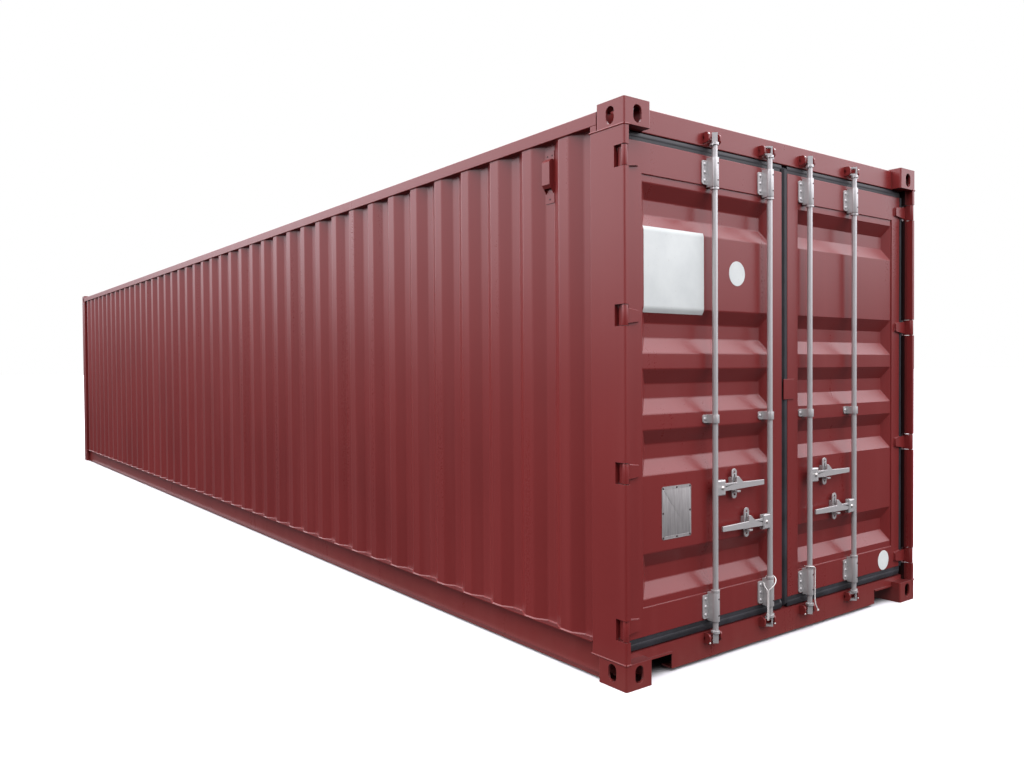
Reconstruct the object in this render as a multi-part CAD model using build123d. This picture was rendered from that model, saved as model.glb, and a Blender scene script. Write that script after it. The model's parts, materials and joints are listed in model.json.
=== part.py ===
from build123d import *
import os

# Envelope in millimetres: the doors are at +X, the ground is at zero and the left side is at -Y
length = 12192.0
width = 2438.0
height = 2591.0
end_x = length / 2
side_y = width / 2

# Room left between pieces, and the overrun of every cut
overrun = 30.0
swing_gap = 5.0
pin_gap = 0.08
bar_gap = 0.4

# Corner castings
casting_length = 178.0
casting_width = 162.0
casting_height = 118.0
casting_wall = 12.0
casting_deck = 28.0
casting_edge_radius = 9.0
slot_length = 124.0
slot_width = 63.5
slot_inset_x = 103.5
slot_inset_y = 89.5
side_hole_height = 79.0
side_hole_width = 51.0
side_hole_rise = 65.0
casting_x = end_x - casting_length
casting_y = side_y - casting_width

# Bottom side rails, channels that open outwards
bottom_rail_base = 12.0
bottom_rail_height = 162.0
bottom_rail_flange = 52.5
bottom_rail_lip = 34.5
bottom_rail_sheet = 4.5
bottom_rail_top = bottom_rail_base + bottom_rail_height
web_y = side_y - bottom_rail_flange

# Roof sheet and top side rails
roof_drop = 6.0
roof_depth = 20.0
roof_sheet = 2.0
roof_flat = 91.0
roof_slope = 13.5
roof_edge_inset = 19.0
roof_margin = 91.0
top_rail_size = 60.0
top_rail_wall = 3.0
top_rail_top = height - roof_drop - roof_depth - roof_sheet
top_rail_base = top_rail_top - top_rail_size

# Side walls, folded from sheet
wall_inset = 4.0
wall_sheet = 2.0
wall_crest = 72.0
wall_slope = 68.0
wall_valley = 70.0
wall_depth = 36.0
wall_last_crest = 373.0

# Front wall, header and sill
front_wall_inset = 10.0
front_wall_sheet = 2.0
front_crest = 110.0
front_slope = 18.0
front_valley = 104.0
front_depth = 45.6
front_post_width = 114.0
front_post_leg = 42.0
front_post_depth = 66.0
front_post_wall = 6.0
front_header_size = 60.0
front_header_inset = 6.0
front_sill_base = 16.0
front_sill_sheet = 5.0

# Rear corner posts: a hollow box with a solid hooked bar along the outer corner
rear_post_length = 223.0
rear_post_depth = 49.0
rear_post_wall = 6.0
hook_width = 28.0
hook_length = 34.0
hook_x = end_x - hook_length
rear_post_x = end_x - rear_post_length
post_y = side_y - rear_post_depth

# Floor and understructure
floor_top = 160.0
floor_thickness = 28.0
cross_base = 20.0
cross_flange = 45.0
cross_sheet = 4.0
cross_pitch = 300.0
tunnel_length = 3150.0
tunnel_width = 1029.0
tunnel_sheet = 6.0
floor_base = floor_top - floor_thickness

# Door face, header and sill
door_recess = 56.0
header_drop = 11.0
header_depth = 110.0
header_wall = 4.0
sill_base = 16.0
sill_top = 141.0
sill_sheet = 5.0
sill_slope_length = 80.0
sill_lip = 65.0
sill_notch_width = 188.0
sill_notch_top = 90.0
sill_notch_lip = 8.0
face_x = end_x - door_recess
header_top = height - header_drop
header_base = header_top - header_depth

# Door leaves
leaf_rise = 59.0
leaf_drop = 40.0
leaf_top_rail = 144.0
leaf_bottom_rail = 133.0
leaf_depth = 50.0
leaf_side_gap = 27.0
left_leaf_edge = 26.0
right_leaf_edge = 22.0
panel_recess = 6.0
panel_inner_y = 115.0
outer_stile = 87.0
panel_sheet = 2.0
rail_plate = 4.0
stile_tube = 60.0
press_depth = 36.0
press_slope = 68.0
press_end_slope = 46.0
press_valley = 70.0
press_margin = 5.0
press_inset = 136.5
press_middle_step = 278.0
gasket_back = 25.0
gasket_sunk = 2.0
gasket_rise = 11.0
gasket_chamfer = 16.0
leaf_back = face_x - leaf_depth
leaf_base = sill_top + leaf_rise
leaf_top = header_base - leaf_drop
leaf_edge_y = post_y - leaf_side_gap
panel_outer_y = leaf_edge_y - outer_stile
panel_x = face_x - panel_recess
panel_base = leaf_base + leaf_bottom_rail
panel_top = leaf_top - leaf_top_rail
panel_middle = (panel_base + panel_top) / 2
press_outer_step = (panel_top - panel_base) / 2 - press_inset
gasket_top = header_base - swing_gap
gasket_base = sill_top + gasket_rise
gasket_y = post_y - swing_gap
gasket_meeting_y = left_leaf_edge - 2 * swing_gap

# Hinges
pin_inset_x = 16.0
pin_inset_y = 16.0
pin_radius = 8.0
pin_hold = 30.0
knuckle_radius = 14.0
blade_height = 90.0
blade_root = 73.0
blade_tip = 47.0
blade_corner = 8.0
blade_plate = 12.0
blade_reach = 118.0
hinge_room = 8.0
hinge_end_gap = 2.5
hinge_count = 4
hinge_rise = 65.0
hinge_drop = 90.0
pin_x = end_x - pin_inset_x
pin_y = side_y - pin_inset_y
hinge_first = leaf_base + hinge_rise
hinge_step = (leaf_top - hinge_drop - hinge_first) / (hinge_count - 1)
hinge_heights = [hinge_first + number * hinge_step for number in range(hinge_count)]

# Locking bars, cams and keepers
bar_radius = 16.5
bar_standoff = 33.0
outer_bar_shift = 12.5
inner_bar_y = 173.0
low_cam_drop = 26.0
high_cam_rise = 40.0
cam_height = 46.0
cam_finger = 9.0
cam_half_width = 13.0
cam_web = 8.0
cam_reach = 24.5
cam_front = 13.0
cam_turn = 45.0
tab_reach = 27.0
tab_plate = 8.0
tab_half_width = 7.0
tab_gap = 8.0
collar_radius = 20.0
collar_height = 12.0
keeper_lug = 12.0
keeper_reach = 9.5
keeper_cheek_y = 36.0
keeper_cheek = 10.0
keeper_cheek_reach = 36.0
keeper_height = 50.0
bar_x = face_x + bar_standoff
outer_bar_y = (panel_outer_y + panel_inner_y) / 2 + outer_bar_shift
low_cam_z = sill_top - low_cam_drop
high_cam_z = header_base + high_cam_rise

# Bar guides on the doors
guide_plate = 6.0
guide_width = 116.0
guide_height = 115.0
guide_corner = 12.0
guide_hoop = 20.0
hoop_height = 138.0
strap_width = 96.0
strap_height = 40.0
low_guide_rise = 65.0
high_guide_drop = 83.0
ring_radius = 20.5
ring_height = 10.0
ring_gap = 3.0
low_guide_z = leaf_base + low_guide_rise
strap_z = panel_middle - press_middle_step / 2
high_guide_z = leaf_top - high_guide_drop

# Handles, hubs and retainers
high_handle_share = 0.74
low_handle_share = 0.17
handle_end_gap = 52.0
handle_root = 38.0
handle_tip = 25.0
handle_plate = 10.0
fin_back = 9.0
fin_flat = 14.0
fin_reach = 43.0
fin_foot = 14.0
fin_rise = 46.0
rivet_reach = 42.0
rivet_radius = 6.0
hub_plate = 7.0
hub_height = 74.0
hub_overlap = 23.0
hub_chamfer = 5.0
cheek_gap = 0.5
retainer_reach = 165.0
retainer_height = 148.0
retainer_width = 38.0
retainer_plate = 6.0
retainer_standoff = 16.0
retainer_rise = 8.0
retainer_foot = 60.0
retainer_hole = 6.0
ledge_width = 26.0
ledge_plate = 8.0
ledge_reach = 28.0
handle_length = outer_bar_y - inner_bar_y - handle_end_gap
field_base = panel_base + press_inset + press_valley / 2 + press_slope
field_top = panel_middle - press_middle_step - press_valley / 2 - press_slope
high_handle_z = field_base + high_handle_share * (field_top - field_base)
low_handle_z = field_base + low_handle_share * (field_top - field_base)

# Plate that covers the meeting strip, and the vent covers
cover_height = 107.0
cover_drop = 10.0
cover_edge = 72.0
cover_plate = 6.0
vent_drop = 36.0
vent_width = 66.0
vent_height = 250.0
vent_plate = 3.0
hood_width = 56.0
hood_height = 165.0
hood_depth = 30.0
hood_drop = 40.0
hood_bevel = 14.0
hood_slant = 42.0
hood_sheet = 2.0


def block(x0, x1, y0, y1, z0, z1):
    centre = Pos((x0 + x1) / 2, (y0 + y1) / 2, (z0 + z1) / 2)
    return centre * Box(abs(x1 - x0), abs(y1 - y0), abs(z1 - z0))


def prism_up(face, z0, z1):
    return extrude(Pos(0, 0, z0) * face, amount=z1 - z0)


def prism_along_x(face, x0, x1):
    return extrude(Plane.YZ.offset(x0) * face, amount=x1 - x0)


def prism_along_y(face, y0, y1):
    return extrude(Plane.XZ.offset(-y0) * face, amount=y1 - y0, dir=(0, 1, 0))


def outline(points):
    return make_face(Polyline(*points, close=True))


def folded_sheet(path, sheet):
    # The closed section of a sheet bent along a path, with its thickness on the left of the path
    line = [Vector(*point) for point in path]
    normals = [(b - a).normalized().rotate(Axis.Z, 90) for a, b in zip(line, line[1:])]
    back = [line[0] + normals[0] * sheet]
    for point, one, two in zip(line[1:], normals, normals[1:]):
        back.append(point + (one + two) * (sheet / (1 + one.dot(two))))
    back.append(line[-1] + normals[-1] * sheet)
    return make_face(Polyline(*line, *reversed(back), close=True))


def corrugation(start, stop, crest, slope, valley, depth, first):
    # Bends of a corrugated sheet from start down to stop; the crest's near edge is at first
    path = [(start, depth)]
    edge = first
    while edge - crest - slope > stop:
        path += [(edge + slope, depth), (edge, 0), (edge - crest, 0), (edge - crest - slope, depth)]
        edge -= crest + slope + valley + slope
    return path + [(stop, depth)]


def mirrored(shape):
    return mirror(shape, about=Plane.XZ)


def both_sides(shape):
    return Compound([shape, mirrored(shape)])


def corner_casting():
    body = block(casting_x, end_x, -side_y, -casting_y, 0, casting_height)
    body = fillet(body.edges().filter_by(Axis.Z), casting_edge_radius)
    cavity = block(
        casting_x + casting_wall, end_x - casting_wall,
        casting_wall - side_y, -casting_y - casting_wall,
        casting_deck, casting_height - casting_wall,
    )
    middle_x = (casting_x + end_x) / 2
    middle_y = -(casting_y + side_y) / 2
    deck = Plane((end_x - slot_inset_x, slot_inset_y - side_y, 0))
    end = Plane((end_x, middle_y, side_hole_rise), x_dir=(0, 0, 1), z_dir=(1, 0, 0))
    side = Plane((middle_x, -side_y, side_hole_rise), x_dir=(0, 0, 1), z_dir=(0, -1, 0))
    body -= cavity
    body -= extrude(deck * SlotOverall(slot_length, slot_width), amount=overrun, both=True)
    for plane in (end, side):
        hole = SlotOverall(side_hole_height, side_hole_width)
        body -= extrude(plane * hole, amount=overrun, both=True)
    return body


def four_corners(shape):
    opposite = mirror(shape, about=Plane.YZ)
    return Compound([shape, opposite, mirrored(shape), mirrored(opposite)])


def bottom_corner_castings():
    return four_corners(corner_casting())


def top_corner_castings():
    return four_corners(mirror(corner_casting(), about=Plane.XY.offset(height / 2)))


def bottom_side_rails():
    lip_y = web_y + bottom_rail_lip
    path = [
        (-lip_y, bottom_rail_base), (-web_y, bottom_rail_base),
        (-web_y, bottom_rail_top), (-side_y, bottom_rail_top),
    ]
    rail = prism_along_x(folded_sheet(path, bottom_rail_sheet), -casting_x, casting_x)
    rail -= block(rear_post_x, end_x, -side_y - overrun, 0, casting_height, height)
    return both_sides(rail)


def top_side_rails():
    inner = side_y - top_rail_size
    tube = block(-casting_x, casting_x, -side_y, -inner, top_rail_base, top_rail_top)
    tube -= block(
        -end_x, end_x, top_rail_wall - side_y, -inner - top_rail_wall,
        top_rail_base + top_rail_wall, top_rail_top - top_rail_wall,
    )
    return both_sides(tube)


def side_wall():
    path = corrugation(
        rear_post_x, -casting_x, wall_crest, wall_slope, wall_valley, wall_depth, end_x - wall_last_crest
    )
    outer_y = side_y - wall_inset
    section = folded_sheet([(x, rise - outer_y) for x, rise in reversed(path)], wall_sheet)
    return prism_up(section, bottom_rail_top, top_rail_base)


def roof_ridges(top):
    # Pressed ridges across the roof, which end in slopes short of the sheet's long edges
    base = top - roof_depth
    crest = roof_flat / 2
    foot = crest + roof_slope
    reach = side_y - roof_edge_inset - roof_margin
    across = outline([(-foot, base), (foot, base), (crest, top), (-crest, top)])
    along = outline([(-reach, base), (reach, base), (reach - roof_slope, top), (roof_slope - reach, top)])
    ridge = prism_along_y(across, -reach, reach) & prism_along_x(along, -foot, foot)
    pitch = 2 * (roof_flat + roof_slope)
    count = int((2 * casting_x - roof_flat) // pitch)
    first = -(count - 1) * pitch / 2
    return [Pos(first + number * pitch, 0, 0) * ridge for number in range(count)]


def roof_panel():
    reach = side_y - roof_edge_inset
    crest = top_rail_top + roof_depth
    sheet = block(-casting_x, casting_x, -reach, reach, top_rail_top, top_rail_top + roof_sheet)
    sheet += roof_ridges(crest + roof_sheet)
    return sheet - roof_ridges(crest)


def front_wall():
    edge = side_y - front_post_width
    pitch = front_crest + front_valley + 2 * front_slope
    first = edge - (2 * edge % pitch) / 2 - front_slope - front_valley / 2
    path = corrugation(edge, -edge, front_crest, front_slope, front_valley, front_depth, first)
    outer_x = front_wall_inset - end_x
    section = folded_sheet([(outer_x + rise, y) for y, rise in reversed(path)], -front_wall_sheet)
    wall = prism_up(section, floor_top, top_rail_base)
    for side in (-1, 1):
        wall -= block(-end_x, 0, side * casting_y, side * side_y, height - casting_height, height)
    return wall


def front_corner_posts():
    inner_x = front_post_depth - end_x
    inner_y = front_post_width - side_y
    leg_y = front_post_leg - side_y
    corners = [
        (-end_x, -side_y), (-casting_x, -side_y), (-casting_x, leg_y),
        (inner_x, leg_y), (inner_x, inner_y), (-end_x, inner_y),
    ]
    section = outline(corners)
    section -= offset(section, amount=-front_post_wall, kind=Kind.INTERSECTION)
    return both_sides(prism_up(section, casting_height, height - casting_height))


def front_header():
    outer_x = front_header_inset - end_x
    inner_x = outer_x + front_header_size
    wall = top_rail_wall
    tube = block(outer_x, inner_x, -casting_y, casting_y, top_rail_base, top_rail_top)
    tube -= block(
        outer_x + wall, inner_x - wall, -side_y, side_y, top_rail_base + wall, top_rail_top - wall
    )
    plate = block(inner_x, -casting_x, -casting_y, casting_y, top_rail_top - wall, top_rail_top)
    return tube + plate


def front_sill():
    outer_x = front_wall_inset - end_x
    path = [
        (-casting_x, floor_top), (outer_x, floor_top),
        (outer_x, front_sill_base), (outer_x + sill_lip, front_sill_base),
    ]
    sill = prism_along_y(folded_sheet(path, front_sill_sheet), -casting_y, casting_y)
    half = tunnel_width / 2 + tunnel_sheet
    return sill - block(-end_x, 0, -half, half, 0, floor_base)


def rear_corner_posts():
    hook_y = hook_width - side_y
    corners = [
        (rear_post_x, -side_y), (end_x, -side_y), (end_x, hook_y),
        (hook_x, hook_y), (hook_x, -post_y), (rear_post_x, -post_y),
    ]
    post = prism_up(outline(corners), casting_height, height - casting_height)
    post += block(
        rear_post_x, casting_x, -side_y, -post_y, height - casting_height, top_rail_base
    )
    notch_x = face_x - hinge_room
    wall = rear_post_wall
    post -= block(
        rear_post_x + wall, notch_x - wall, wall - side_y, -post_y - wall,
        casting_height + wall, height - casting_height - wall,
    )
    half = blade_height / 2 + hinge_end_gap
    for z in hinge_heights:
        post -= block(notch_x, end_x + overrun, -side_y - overrun, overrun - post_y, z - half, z + half)
        hold = half + pin_hold + pin_gap
        post -= Pos(pin_x, -pin_y, z) * Cylinder(pin_radius + pin_gap, 2 * hold)
    return both_sides(post)


def hinge_pins():
    half = blade_height / 2 + hinge_end_gap + pin_hold
    pins = [Pos(pin_x, -pin_y, z) * Cylinder(pin_radius, 2 * half) for z in hinge_heights]
    return Compound(pins + [mirrored(pin) for pin in pins])


def plywood_floor():
    return block(-casting_x, casting_x, -web_y, web_y, floor_base, floor_top)


def cross_members():
    path = [
        (cross_flange, cross_base), (0, cross_base), (0, floor_base), (cross_flange, floor_base),
    ]
    section = folded_sheet(path, -cross_sheet)
    tunnel_end = tunnel_length - end_x
    tunnel_y = tunnel_width / 2 + tunnel_sheet
    members = []
    x = casting_x - cross_pitch / 2
    while x > -casting_x:
        if x > tunnel_end:
            members.append(Pos(x, 0, 0) * prism_along_y(section, -web_y, web_y))
        else:
            short = Pos(x, 0, 0) * prism_along_y(section, -web_y, -tunnel_y)
            members += [short, mirrored(short)]
        x -= cross_pitch
    return Compound(members)


def gooseneck_tunnel():
    half = tunnel_width / 2
    top = floor_base - tunnel_sheet
    path = [(-half, cross_base), (-half, top), (half, top), (half, cross_base)]
    front = front_wall_inset + front_sill_sheet - end_x
    return prism_along_x(folded_sheet(path, tunnel_sheet), front, tunnel_length - end_x)


def door_header():
    header = block(casting_x, face_x, -casting_y, casting_y, header_base, header_top)
    return header - block(
        casting_x + header_wall, face_x - header_wall, -side_y, side_y,
        header_base + header_wall, header_top - header_wall,
    )


def door_sill():
    slope_end = face_x - sill_slope_length
    path = [
        (face_x - sill_lip, sill_base), (face_x, sill_base), (face_x, sill_top),
        (slope_end, floor_top), (casting_x, floor_top),
    ]
    sill = prism_along_y(folded_sheet(path, sill_sheet), -post_y, post_y)
    notch_y = casting_y - sill_notch_width
    lip_top = sill_notch_top + sill_notch_lip
    for side in (-1, 1):
        sill -= block(0, end_x, side * casting_y, side * side_y, 0, casting_height)
        sill -= block(0, end_x, side * notch_y, side * side_y, 0, sill_notch_top)
        sill += block(
            face_x, face_x + sill_notch_lip, side * notch_y, side * casting_y, sill_notch_top, lip_top
        )
    return sill


def cam_keepers():
    keepers = []
    for y in (-outer_bar_y, -inner_bar_y, inner_bar_y, outer_bar_y):
        for z in (low_cam_z, high_cam_z):
            lug_half = keeper_lug / 2
            rise = keeper_height / 2
            edge = keeper_cheek_y + keeper_cheek
            keeper = block(face_x, face_x + keeper_reach, -edge, edge, -lug_half, lug_half)
            for side in (-1, 1):
                near = side * keeper_cheek_y
                far = side * edge
                keeper += block(face_x, face_x + keeper_cheek_reach, near, far, -rise, rise)
            keepers.append(Pos(0, y, z) * keeper)
    return Compound(keepers)


def vent_hood(back, top, width, depth, height_down):
    # A hood with a bevelled top edge and a slanted underside
    front = back - depth
    foot = top - height_down
    profile = [
        (back, top), (front + hood_bevel, top), (front, top - hood_bevel),
        (front, foot + hood_slant), (back, foot),
    ]
    return prism_along_x(outline(profile), -width / 2, width / 2)


def vent_covers():
    pitch = wall_crest + wall_valley + 2 * wall_slope
    x = end_x - wall_last_crest - wall_crest - wall_slope - wall_valley / 2
    back = wall_inset + wall_depth - side_y
    top = top_rail_base - vent_drop
    half = vent_width / 2
    cover = block(-half, half, back - vent_plate, back, top - vent_height, top)
    hood_back = back - vent_plate
    hood_top = top - hood_drop
    inside = hood_width - 2 * hood_sheet
    cover += vent_hood(hood_back, hood_top, hood_width, hood_depth - vent_plate, hood_height)
    cover -= vent_hood(
        hood_back, hood_top - hood_sheet, inside, hood_depth - vent_plate - hood_sheet, hood_height
    )
    cover = Pos(x, 0, 0) * cover
    bays = (2 * casting_x) // pitch - 2
    return Compound([cover, Pos(-bays * pitch, 0, 0) * mirrored(cover)])


def leaf_frame(meeting_y):
    frame = block(leaf_back, face_x, -leaf_edge_y, -meeting_y, leaf_base, leaf_top)
    frame -= block(0, end_x, -panel_outer_y, -panel_inner_y, panel_base, panel_top)
    pocket_y = (stile_tube - leaf_edge_y, -meeting_y - stile_tube)
    plate_x = face_x - rail_plate
    frame -= block(0, plate_x, *pocket_y, leaf_base + rail_plate, panel_base - rail_plate)
    frame -= block(0, plate_x, *pocket_y, panel_top + rail_plate, leaf_top - rail_plate)
    return frame


def press_growth(slope):
    # How much wider the back of the sheet's trough is on each side, for a side of this slope
    return panel_sheet * ((slope ** 2 + press_depth ** 2) ** 0.5 - slope) / press_depth


def pressed_valley(z, plane_x, grow_y, grow_z):
    # A trough with sloping ends, from the plane inwards by the depth of the pressing
    mouth_y = panel_outer_y - panel_inner_y - 2 * press_margin + 2 * grow_y
    mouth_z = press_valley + 2 * press_slope + 2 * grow_z
    middle = -(panel_outer_y + panel_inner_y) / 2
    mouth = Plane((plane_x, middle, z), x_dir=(0, 1, 0), z_dir=(1, 0, 0))
    bed = Rectangle(mouth_y - 2 * press_end_slope, mouth_z - 2 * press_slope)
    return loft([mouth * Rectangle(mouth_y, mouth_z), mouth.offset(-press_depth) * bed])


def leaf_panel():
    back = panel_x - panel_sheet
    panel = block(back, panel_x, -panel_outer_y, -panel_inner_y, panel_base, panel_top)
    grow = (press_growth(press_end_slope), press_growth(press_slope))
    steps = (-press_outer_step, -press_middle_step, 0, press_middle_step, press_outer_step)
    for step in steps:
        panel += pressed_valley(panel_middle + step, back, *grow)
    for step in steps:
        panel -= pressed_valley(panel_middle + step, panel_x, 0, 0)
    return panel


def leaf_gasket(meeting_y, inner_edge):
    front = face_x - gasket_sunk
    back = face_x - gasket_back
    strip = block(back, front, -gasket_y, -inner_edge, gasket_base, gasket_top)
    strip = chamfer(strip.faces().sort_by(Axis.X)[-1].edges(), gasket_chamfer)
    return strip - block(0, end_x, -leaf_edge_y, -meeting_y, leaf_base, leaf_top)


def hinge_blades():
    tail = pin_y - blade_reach
    near = pin_y - knuckle_radius
    far = near + blade_plate
    corners = [
        (pin_x, -far), (pin_x, -near), (face_x + blade_plate, -near),
        (face_x + blade_plate, -tail), (face_x, -tail), (face_x, -far),
    ]
    section = outline(corners) + Pos(pin_x, -pin_y) * Circle(knuckle_radius)
    section -= Pos(pin_x, -pin_y) * Circle(pin_radius + pin_gap)
    half = blade_height / 2
    root = blade_root / 2
    tip = blade_tip / 2
    side = outline([
        (-side_y, -half), (-near, -half), (-near, -root), (-tail, -tip),
        (-tail, tip), (-near, root), (-near, half), (-side_y, half),
    ])
    side = fillet(side.vertices().sort_by(Axis.X)[-2:], blade_corner)
    blade = prism_up(section, -half, half) & prism_along_x(side, leaf_back, end_x + overrun)
    return Compound([Pos(0, 0, z) * blade for z in hinge_heights])


def bar_guide(seat, plate_width, plate_height, loop_height):
    # A bolted flange on the plane of its seat, with a hoop round the bar
    half = loop_height / 2
    flange = Plane.YZ.offset(seat) * RectangleRounded(plate_width, plate_height, guide_corner)
    guide = extrude(flange, amount=guide_plate)
    guide += block(seat, bar_x, -guide_hoop, guide_hoop, -half, half)
    guide += Pos(bar_x, 0, 0) * Cylinder(guide_hoop, loop_height)
    return guide - Pos(bar_x, 0, 0) * Cylinder(bar_radius + bar_gap, loop_height + overrun)


def leaf_guides():
    guide = bar_guide(face_x, guide_width, guide_height, hoop_height)
    strap = bar_guide(panel_x, strap_width, strap_height, strap_height)
    guides = []
    for y in (-outer_bar_y, -inner_bar_y):
        guides += [Pos(0, y, z) * guide for z in (low_guide_z, high_guide_z)]
        guides.append(Pos(0, y, strap_z) * strap)
    return guides


def handle_retainer():
    # Stands behind the handle, which rests over its ledge and can leave it upwards or outwards
    base = panel_x + retainer_standoff
    half = retainer_width / 2
    plate = Plane((base, 0, retainer_rise), x_dir=(0, 0, 1), z_dir=(1, 0, 0))
    retainer = extrude(plate * SlotOverall(retainer_height, retainer_width), amount=retainer_plate)
    for end in (-1, 1):
        hole = Pos(end * (retainer_height / 2 - half), 0) * Circle(retainer_hole)
        retainer -= extrude(plate * hole, amount=overrun, both=True)
    foot = retainer_foot / 2
    retainer += block(panel_x, base, -half, half, retainer_rise - foot, retainer_rise + foot)
    ledge = -handle_root / 2 - swing_gap
    front = base + retainer_plate
    half = ledge_width / 2
    return retainer + block(front, front + ledge_reach, -half, half, ledge - ledge_plate, ledge)


def leaf_retainers(outer_handle_z, inner_handle_z):
    outer = Pos(0, retainer_reach - outer_bar_y, outer_handle_z) * handle_retainer()
    inner = Pos(0, -inner_bar_y - retainer_reach, inner_handle_z) * handle_retainer()
    return [outer, inner]


def meeting_cover():
    base = panel_middle - cover_drop - cover_height / 2
    return block(
        face_x, face_x + cover_plate, -gasket_meeting_y, cover_edge, base, base + cover_height
    )


def cam(side, way):
    # A claw with a finger over and one under the keeper's lug, turned to the handle's side, and a push
    # tab beside the collar, which is above the claw where way is 1 and below it where way is -1
    half = cam_height / 2
    inner = half - cam_finger
    claw = block(-cam_reach, cam_front, -cam_half_width, cam_half_width, -half, half)
    claw -= block(-cam_reach - overrun, cam_front - cam_web, -overrun, overrun, -inner, inner)
    low = way * (half + tab_gap)
    high = way * (half + tab_gap + tab_plate)
    tab = block(-tab_half_width, tab_half_width, 0, -side * tab_reach, low, high)
    return [Rot(0, 0, -side * cam_turn) * claw, tab]


def hub(side):
    # Two cheeks that hold the handle's root on a rivet
    cheek = handle_plate / 2 + cheek_gap
    outer = cheek + hub_plate
    reach = rivet_reach + hub_overlap
    rise = hub_height / 2
    clevis = block(-outer, outer, 0, side * reach, -rise, rise)
    clevis = chamfer(clevis.faces().sort_by(Axis.X)[-1].edges(), hub_chamfer)
    clevis -= block(-cheek, cheek, side * bar_radius, side * (reach + overrun), -height, height)
    rivet = Plane((0, side * rivet_reach, 0), z_dir=(1, 0, 0)) * Circle(rivet_radius)
    return clevis + extrude(rivet, amount=outer, both=True)


def lock_bar(y, handle_z, side):
    foot = low_cam_z + cam_height / 2
    head = high_cam_z - cam_height / 2
    bar = Pos(0, 0, (foot + head) / 2) * Cylinder(bar_radius, head - foot)
    for end, way in ((foot, 1), (head, -1)):
        bar += Pos(0, 0, end + way * collar_height / 2) * Cylinder(collar_radius, collar_height)
    half = hoop_height / 2 + ring_gap + ring_height / 2
    for z in (low_guide_z + half, high_guide_z - half):
        bar += Pos(0, 0, z) * Cylinder(ring_radius, ring_height)
    for z, way in ((low_cam_z, 1), (high_cam_z, -1)):
        bar += [Pos(0, 0, z) * piece for piece in cam(side, way)]
    bar += Pos(0, 0, handle_z) * hub(side)
    return Pos(bar_x, y, 0) * bar


def lock_handle(y, handle_z, side):
    # A tapered arm from the rivet to a squared end, with a slanted fin where it lies on the retainer
    rivet_y = side * rivet_reach
    tip_y = side * handle_length
    fin_y = side * retainer_reach - fin_back
    root = handle_root / 2
    tip = handle_tip / 2
    arm = outline([(rivet_y, -root), (tip_y, -tip), (tip_y, tip), (rivet_y, root)])
    arm += Pos(rivet_y, 0) * Circle(root)
    arm += outline([
        (fin_y, 0), (fin_y + fin_back + fin_reach, 0), (fin_y + fin_back + fin_reach, fin_foot),
        (fin_y + fin_flat, fin_rise), (fin_y, fin_rise),
    ])
    arm -= Pos(rivet_y, 0) * Circle(rivet_radius + pin_gap)
    half = handle_plate / 2
    return Pos(bar_x, y, handle_z) * prism_along_x(arm, -half, half)


def build_nodes():
    wall = side_wall()
    blades = hinge_blades()
    guides = leaf_guides()
    left_retainers = leaf_retainers(high_handle_z, low_handle_z)
    right_retainers = [mirrored(one) for one in leaf_retainers(low_handle_z, high_handle_z)]
    nodes = {
        "bottom_corner_castings": bottom_corner_castings(),
        "top_corner_castings": top_corner_castings(),
        "front_corner_posts": front_corner_posts(),
        "rear_corner_posts": rear_corner_posts(),
        "bottom_side_rails": bottom_side_rails(),
        "top_side_rails": top_side_rails(),
        "left_side_wall": wall,
        "right_side_wall": mirrored(wall),
        "roof_panel": roof_panel(),
        "front_wall": front_wall(),
        "front_header": front_header(),
        "front_sill": front_sill(),
        "plywood_floor": plywood_floor(),
        "cross_members": cross_members(),
        "gooseneck_tunnel": gooseneck_tunnel(),
        "door_header": door_header(),
        "door_sill": door_sill(),
        "cam_keepers": cam_keepers(),
        "hinge_pins": hinge_pins(),
        "vent_covers": vent_covers(),
        "left_door_frame": leaf_frame(left_leaf_edge),
        "left_door_panel": leaf_panel(),
        "left_door_gasket": leaf_gasket(left_leaf_edge, left_leaf_edge),
        "left_door_hinges": blades,
        "left_door_bar_guides": Compound(guides),
        "left_door_handle_retainers": Compound(left_retainers),
        "right_door_frame": mirrored(leaf_frame(right_leaf_edge)),
        "right_door_panel": mirrored(leaf_panel()),
        "right_door_gasket": mirrored(leaf_gasket(right_leaf_edge, -gasket_meeting_y)),
        "right_door_hinges": mirrored(blades),
        "right_door_bar_guides": Compound([mirrored(one) for one in guides]),
        "right_door_handle_retainers": Compound(right_retainers),
        "right_door_meeting_cover": meeting_cover(),
    }
    bars = (
        (-outer_bar_y, high_handle_z, 1), (-inner_bar_y, low_handle_z, -1),
        (inner_bar_y, high_handle_z, 1), (outer_bar_y, low_handle_z, -1),
    )
    for number, place in enumerate(bars, start=1):
        nodes[f"lock_bar_{number}"] = lock_bar(*place)
        nodes[f"lock_handle_{number}"] = lock_handle(*place)
    return nodes


os.makedirs("parts", exist_ok=True)
for node, shape in build_nodes().items():
    export_step(shape, f"parts/{node}.step")
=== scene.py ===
import bpy
import bmesh
import json
import math
from mathutils import Matrix, Vector

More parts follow.
